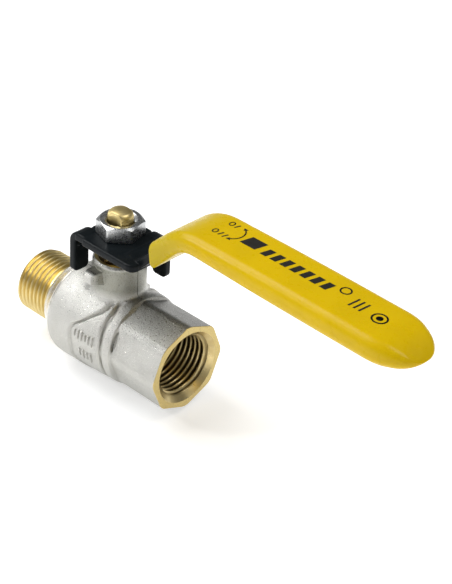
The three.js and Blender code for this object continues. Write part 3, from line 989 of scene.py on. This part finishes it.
def make_sleeve():
    """Dipped sleeve: a rounded lip round a slanted mouth, and a rounded, drooping tip."""
    line = strip_line(SLEEVE_END)[FIRST_BEND_STEPS + 1:]
    total = sum(math.hypot(b[0] - a[0], b[1] - a[1]) for a, b in zip(line, line[1:]))
    lip_r = 0.9
    tip = 13.8
    tip_start = total - tip
    tip_power = 2.2

    def left_of(s, run):
        """1 at the mouth, falling to 0 over a run."""
        return max(0.0, 1 - (s - SLEEVE_START) / run)

    def section(s, half_width, half_height, corner, droop=0.0):
        x, z, heading = centre_at(s, line)
        along, rise = math.cos(heading), math.sin(heading)
        slant = 0.8 * left_of(s, 9)
        return [
            (x + up * (slant * along - rise), across, z + up * (slant * rise + along) - droop)
            for across, up in rounded_rectangle(half_width, half_height, corner)
        ]

    # the pocket round the strip, out to the mouth: depth, half width, half height
    pocket = ((9.0, 8.1, 1.45), (0.5, 8.15, 1.5), (0.0, 8.35, 1.75))
    rings = [section(SLEEVE_START + depth, width, height, 0.9) for depth, width, height in pocket]
    stations = [SLEEVE_START + lip_r * (1 - math.cos(math.pi / 2 * i / 6)) for i in range(7)]
    stations += list(np.linspace(SLEEVE_START + 1.2, tip_start, 150))
    stations += [tip_start + tip * math.sin(math.pi / 2 * i / 48) for i in range(1, 49)]
    for s in stations:
        lip = left_of(s, lip_r)
        shrink = lip_r * (1 - math.sqrt(max(0.0, 1 - lip * lip)))
        q = min(1.0, max(0.0, (s - tip_start) / tip))
        width = (SLEEVE_HALF - shrink) * max(0.0, 1 - q ** tip_power) ** (1 / tip_power)
        height = (sleeve_thickness(centre_at(s, line)[0]) / 2 - shrink) * (1 - 0.97 * q ** 3)
        corner = 3.1 - 1.3 * left_of(s, 8)
        rings.append(section(s, max(width, 0.1), height, corner, droop=0.76 * q * q))
    count = len(rings[0])
    v = np.concatenate(rings)
    faces = grid_faces(len(rings), count, flip=True)
    faces.append(tuple(range(len(v) - count, len(v))))
    mesh_object("lever_grip", v, faces, YELLOW, "lever_assembly", 50, replaces=["lever_sleeve"],
                slot="yellow_vinyl")


def make_prints():
    """Printed marks on the sleeve: the two end positions with an arrow, and plain shapes."""
    line = strip_line(SLEEVE_END)
    sunk, raised = -0.05, 0.035
    parts = []

    def top_at(x):
        for (ax, az, _), (bx, bz, heading) in zip(line, line[1:]):
            if ax <= x <= bx:
                z = az + (bz - az) * (x - ax) / (bx - ax)
                return z + sleeve_thickness(x) / 2 / math.cos(heading)

    def slab(*outline):
        n = len(outline)
        v = [(x, y, top_at(x) + h) for h in (sunk, raised) for x, y in outline]
        f = [tuple(range(n))[::-1], tuple(range(n, 2 * n))]
        f += [(i, (i + 1) % n, n + (i + 1) % n, n + i) for i in range(n)]
        parts.append((v, f))

    def slanted(x, y, width, length, lean):
        top = y + length
        slab((x, y), (x + width, y), (x + width + lean, top), (x + lean, top))

    def oval(cx, cy, rx, ry, width, start=0, end=360):
        steps = 28
        angles = [math.radians(start + (end - start) * i / steps) for i in range(steps + 1)]
        points = [(cx + rx * math.cos(a), cy + ry * math.sin(a)) for a in angles]
        for (ax, ay), (bx, by) in zip(points, points[1:]):
            length = math.hypot(bx - ax, by - ay)
            ux, uy = (bx - ax) / length * width / 2, (by - ay) / length * width / 2
            slab((ax - ux + uy, ay - uy - ux), (bx + ux + uy, by + uy - ux),
                 (bx + ux - uy, by + uy + ux), (ax - ux - uy, ay - uy + ux))

    # the two end positions: a ring with one bar, and a ring with two
    oval(39.8, 4.6, 0.7, 0.95, 0.36)
    slanted(41.2, 3.6, 0.5, 2.0, 0.6)
    oval(39.1, -1.5, 0.7, 0.95, 0.36)
    for x in (40.6, 42.2):
        slanted(x, -2.5, 0.5, 2.0, 0.6)
    # a curved arrow with two heads
    oval(42.9, 1.6, 3.4, 3.7, 0.4, -62, 62)
    slab((43.6, 5.5), (45.2, 5.4), (44.3, 4.3))
    slab((43.6, -2.3), (45.2, -2.2), (44.3, -1.1))
    # a filled block, a row of slanted blocks, a ring, thin bars and a ring with a dot
    slanted(47.4, -0.7, 5.5, 4.6, 1.0)
    for i in range(7):
        slanted(55.0 + 3.5 * i, -1.0, 2.2, 3.7, 0.8)
    oval(82.2, 2.9, 1.5, 1.5, 0.45)
    for i in range(3):
        slanted(86.4 + 1.7 * i, -1.7, 0.6, 4.4, 0.4)
    oval(95.9, -0.2, 2.1, 2.1, 0.5)
    oval(95.9, -0.2, 0.45, 0.45, 0.9)
    mesh_object("sleeve_print", *joined(parts), INK, "lever_assembly", 30, slot="yellow_vinyl")


# ------------------------------------------------------------------ nut, stem, gland nut


def make_nut():
    """Hexagon nut, its top turned to a 30 degree cone, with a countersunk hole."""
    floor = PLATE_TOP + 0.05
    turned = math.radians(43.6)
    side_steps = 24
    cone_r = 6.2
    slope = math.tan(math.radians(30))
    angles = np.arange(6 * side_steps) * (math.pi / 3 / side_steps)
    off = np.abs(np.mod(angles, math.pi / 3) - math.pi / 6)
    corner_r = NUT_HALF / math.cos(math.pi / 6) - 0.10
    side = np.minimum(NUT_HALF / np.cos(off), corner_r)
    high = NUT_TOP - np.maximum(side - cone_r, 0) * slope
    wall_top = high - 0.05
    cone_start = cone_r + 0.02
    cone_middle = cone_start + (side - cone_start) * 0.5
    outline = [
        (HOLE_R, 35.0), (HOLE_R, NUT_TOP - 0.75), (4.95, NUT_TOP - 0.08), (5.05, NUT_TOP - 0.01),
        (5.15, NUT_TOP), (cone_r - 0.1, NUT_TOP), (cone_start, NUT_TOP - 0.02),
        (cone_middle, NUT_TOP - (cone_middle - cone_r) * slope), (side - 0.05, high + 0.03),
        (side, wall_top),
    ]
    outline += [(side, wall_top * (1 - t) + floor * t) for t in (0.25, 0.5, 0.75, 0.96)]
    outline += [(side - 0.12, floor), (4.6, floor), (HOLE_R, floor + 0.4)]
    v = np.concatenate([level_ring(angles + turned, r, z) for r, z in outline])
    faces = grid_faces(len(outline), len(angles), flip=True)
    mesh_object("lever_nut_hex", v, faces, ZINC, "lever_assembly", 14, replaces=["lever_nut"],
                slot="zinc_plated_steel")


def stem_field(x, y, z):
    """Top of the stem: worn M8 thread, a dome, and two flats down to the plate."""
    pitch, worn_depth, thread_top = 1.25, 0.10, 39.3
    dome_r, dome_centre, stem_top = 7.0, 34.5, 41.5
    r = np.hypot(x, y)
    groove = np.abs(np.mod(z / pitch, 1) * 2 - 1)
    worn = worn_depth * groove * step_up((thread_top - z) / 0.6)
    dome = np.hypot(r, z - dome_centre) - dome_r
    top = soft_max(r - STEM_R + worn, dome, 1.1)
    top = soft_max(top, z - stem_top, 0.8)
    plate_floor = PLATE_TOP - STEEL
    flats = np.where(z > plate_floor, np.abs(y) - STEM_FLAT, -1)
    return soft_max(soft_max(top, flats, 0.15), 22.0 - z, 0.1)


def bevelled_block(low, high, edge):
    bm = bmesh.new()
    bmesh.ops.create_cube(bm, size=1)
    for p in bm.verts:
        p.co = [(l + h) / 2 + c * (h - l) for l, h, c in zip(low, high, p.co)]
    bmesh.ops.bevel(bm, geom=bm.edges[:], offset=edge, segments=3, affect="EDGES", profile=0.5)
    return emptied(bm)


def make_stem():
    step = STEM_STEP
    v, quads = isosurface(stem_field, (-4.3, -4.3, 21.8), (4.3, 4.3, 41.9), step)
    mesh_object("stem_top", v, quads.tolist(), STEM_BRASS, "lever_assembly", slot="bare_brass")
    flange_r, flange_top, flange_floor = 5.2, 13.9, 11.85
    lower = around_z([
        (22.2, STEM_R), (flange_top, STEM_R), (flange_top, flange_r), (flange_floor, flange_r),
        (flange_floor, 0.01),
    ])
    tongue = bevelled_block((-2.2, -4.6, 8.9), (2.2, 4.6, 12.4), 0.3)
    mesh_object("stem_shaft", *joined([lower, tongue]), STEM_BRASS, "lever_assembly", 40,
                replaces=["stem"], slot="bare_brass")


def make_gland():
    """Gland nut with a hexagon head, seen under the plate."""
    angles = full_turn(192)
    hexagon = 5.5 / np.cos(np.mod(angles + math.pi / 6, math.pi / 3) - math.pi / 6)
    outline = [
        (6.3, 21.0), (6.3, 25.65), (hexagon, 25.75), (hexagon, 26.4),
        (np.minimum(hexagon, 5.9), 26.65), (5.4, 26.8), (4.4, 26.8), (4.1, 26.5), (4.1, 21.0),
    ]
    v = np.concatenate([level_ring(angles, r, z) for r, z in outline])
    mesh_object("gland_nut_ring", v, grid_faces(len(outline), len(angles)), SHADED_GLAND_BRASS, "valve",
                30, replaces=["gland_nut"], slot="bare_brass")


# ------------------------------------------------------------------ inner pieces, from the model

INNER_PIECES = {
    "ball": CHROME,
    "seat_ring_female_side": PTFE,
    "seat_ring_male_side": PTFE,
    "thrust_washer": PTFE,
    "packing_ring_lower": PTFE,
    "packing_ring_middle": PTFE,
    "packing_ring_upper": PTFE,
}


def dress_inner_pieces():
    for node, material in INNER_PIECES.items():
        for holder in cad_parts[node].material_slots:
            holder.material = material


# ------------------------------------------------------------------ camera and stage, in metres


def make_camera():
    right = Vector((0.7243, 0.6872, 0.0559))
    up = Vector((-0.4094, 0.3635, 0.8368))
    forward = Vector((-0.5547, 0.6290, -0.5446))
    place = (0.27631, -0.26440, 0.26222)
    data = bpy.data.cameras.new("camera")
    data.lens = 92.466
    data.sensor_width = 36
    data.clip_end = 20
    camera = bpy.data.objects.new("camera", data)
    bpy.context.collection.objects.link(camera)
    turn = Matrix((right, up, -forward)).transposed().to_4x4()
    camera.matrix_world = Matrix.Translation(place) @ turn
    bpy.context.scene.camera = camera
    bpy.context.scene.view_settings.view_transform = "Standard"


def make_floor():
    bpy.ops.mesh.primitive_plane_add(size=6, location=(0, 0, cad_box[0][2] - 0.0004))
    floor = bpy.context.object
    floor.name = "floor"
    m = Material("floor_white", (0.9, 0.9, 0.9), 0.0, 0.7, Emission_Strength=0.47)
    m.shader.inputs["Emission Color"].default_value = (1, 1, 1, 1)
    floor.data.materials.append(m.material)


def make_world():
    """White surroundings that dim upwards, and more so behind the valve."""
    world = bpy.data.worlds.new("studio")
    world.use_nodes = True
    t = Tree(world.node_tree, "Generated")
    background = t.tree.nodes["Background"]
    background.inputs["Color"].default_value = (1, 1, 1, 1)
    upwards = t.ramp(t.axis(Z), 0.0, 0.4, 0.50, 0.19)
    behind = t.ramp(t.product(t.axis(Y), t.axis(Z)), 0.05, 0.3, 1.0, 0.6)
    t.link(t.product(upwards, behind), background.inputs["Strength"])
    bpy.context.scene.world = world


def make_lights():
    target = Vector((0.02, 0, 0.01))
    for name, place, size, watts in (
        ("key_above", (-0.55, -0.16, 0.82), 0.66, 6.2),
        ("key_edge", (-0.60, -0.57, 0.60), 0.13, 2.1),
        ("fill_right", (0.45, 0.22, 0.87), 0.5, 3.0),
    ):
        light = bpy.data.lights.new(name, "AREA")
        light.shape = "SQUARE"
        light.size = size
        light.energy = watts
        lamp = bpy.data.objects.new(name, light)
        lamp.location = place
        lamp.rotation_euler = (target - Vector(place)).to_track_quat("-Z", "Y").to_euler()
        bpy.context.collection.objects.link(lamp)


# ------------------------------------------------------------------ everything in its place

make_camera()
make_body()
make_adapter()
make_lever()
make_sleeve()
make_prints()
make_nut()
make_stem()
make_gland()
dress_inner_pieces()
make_floor()
make_world()
make_lights()
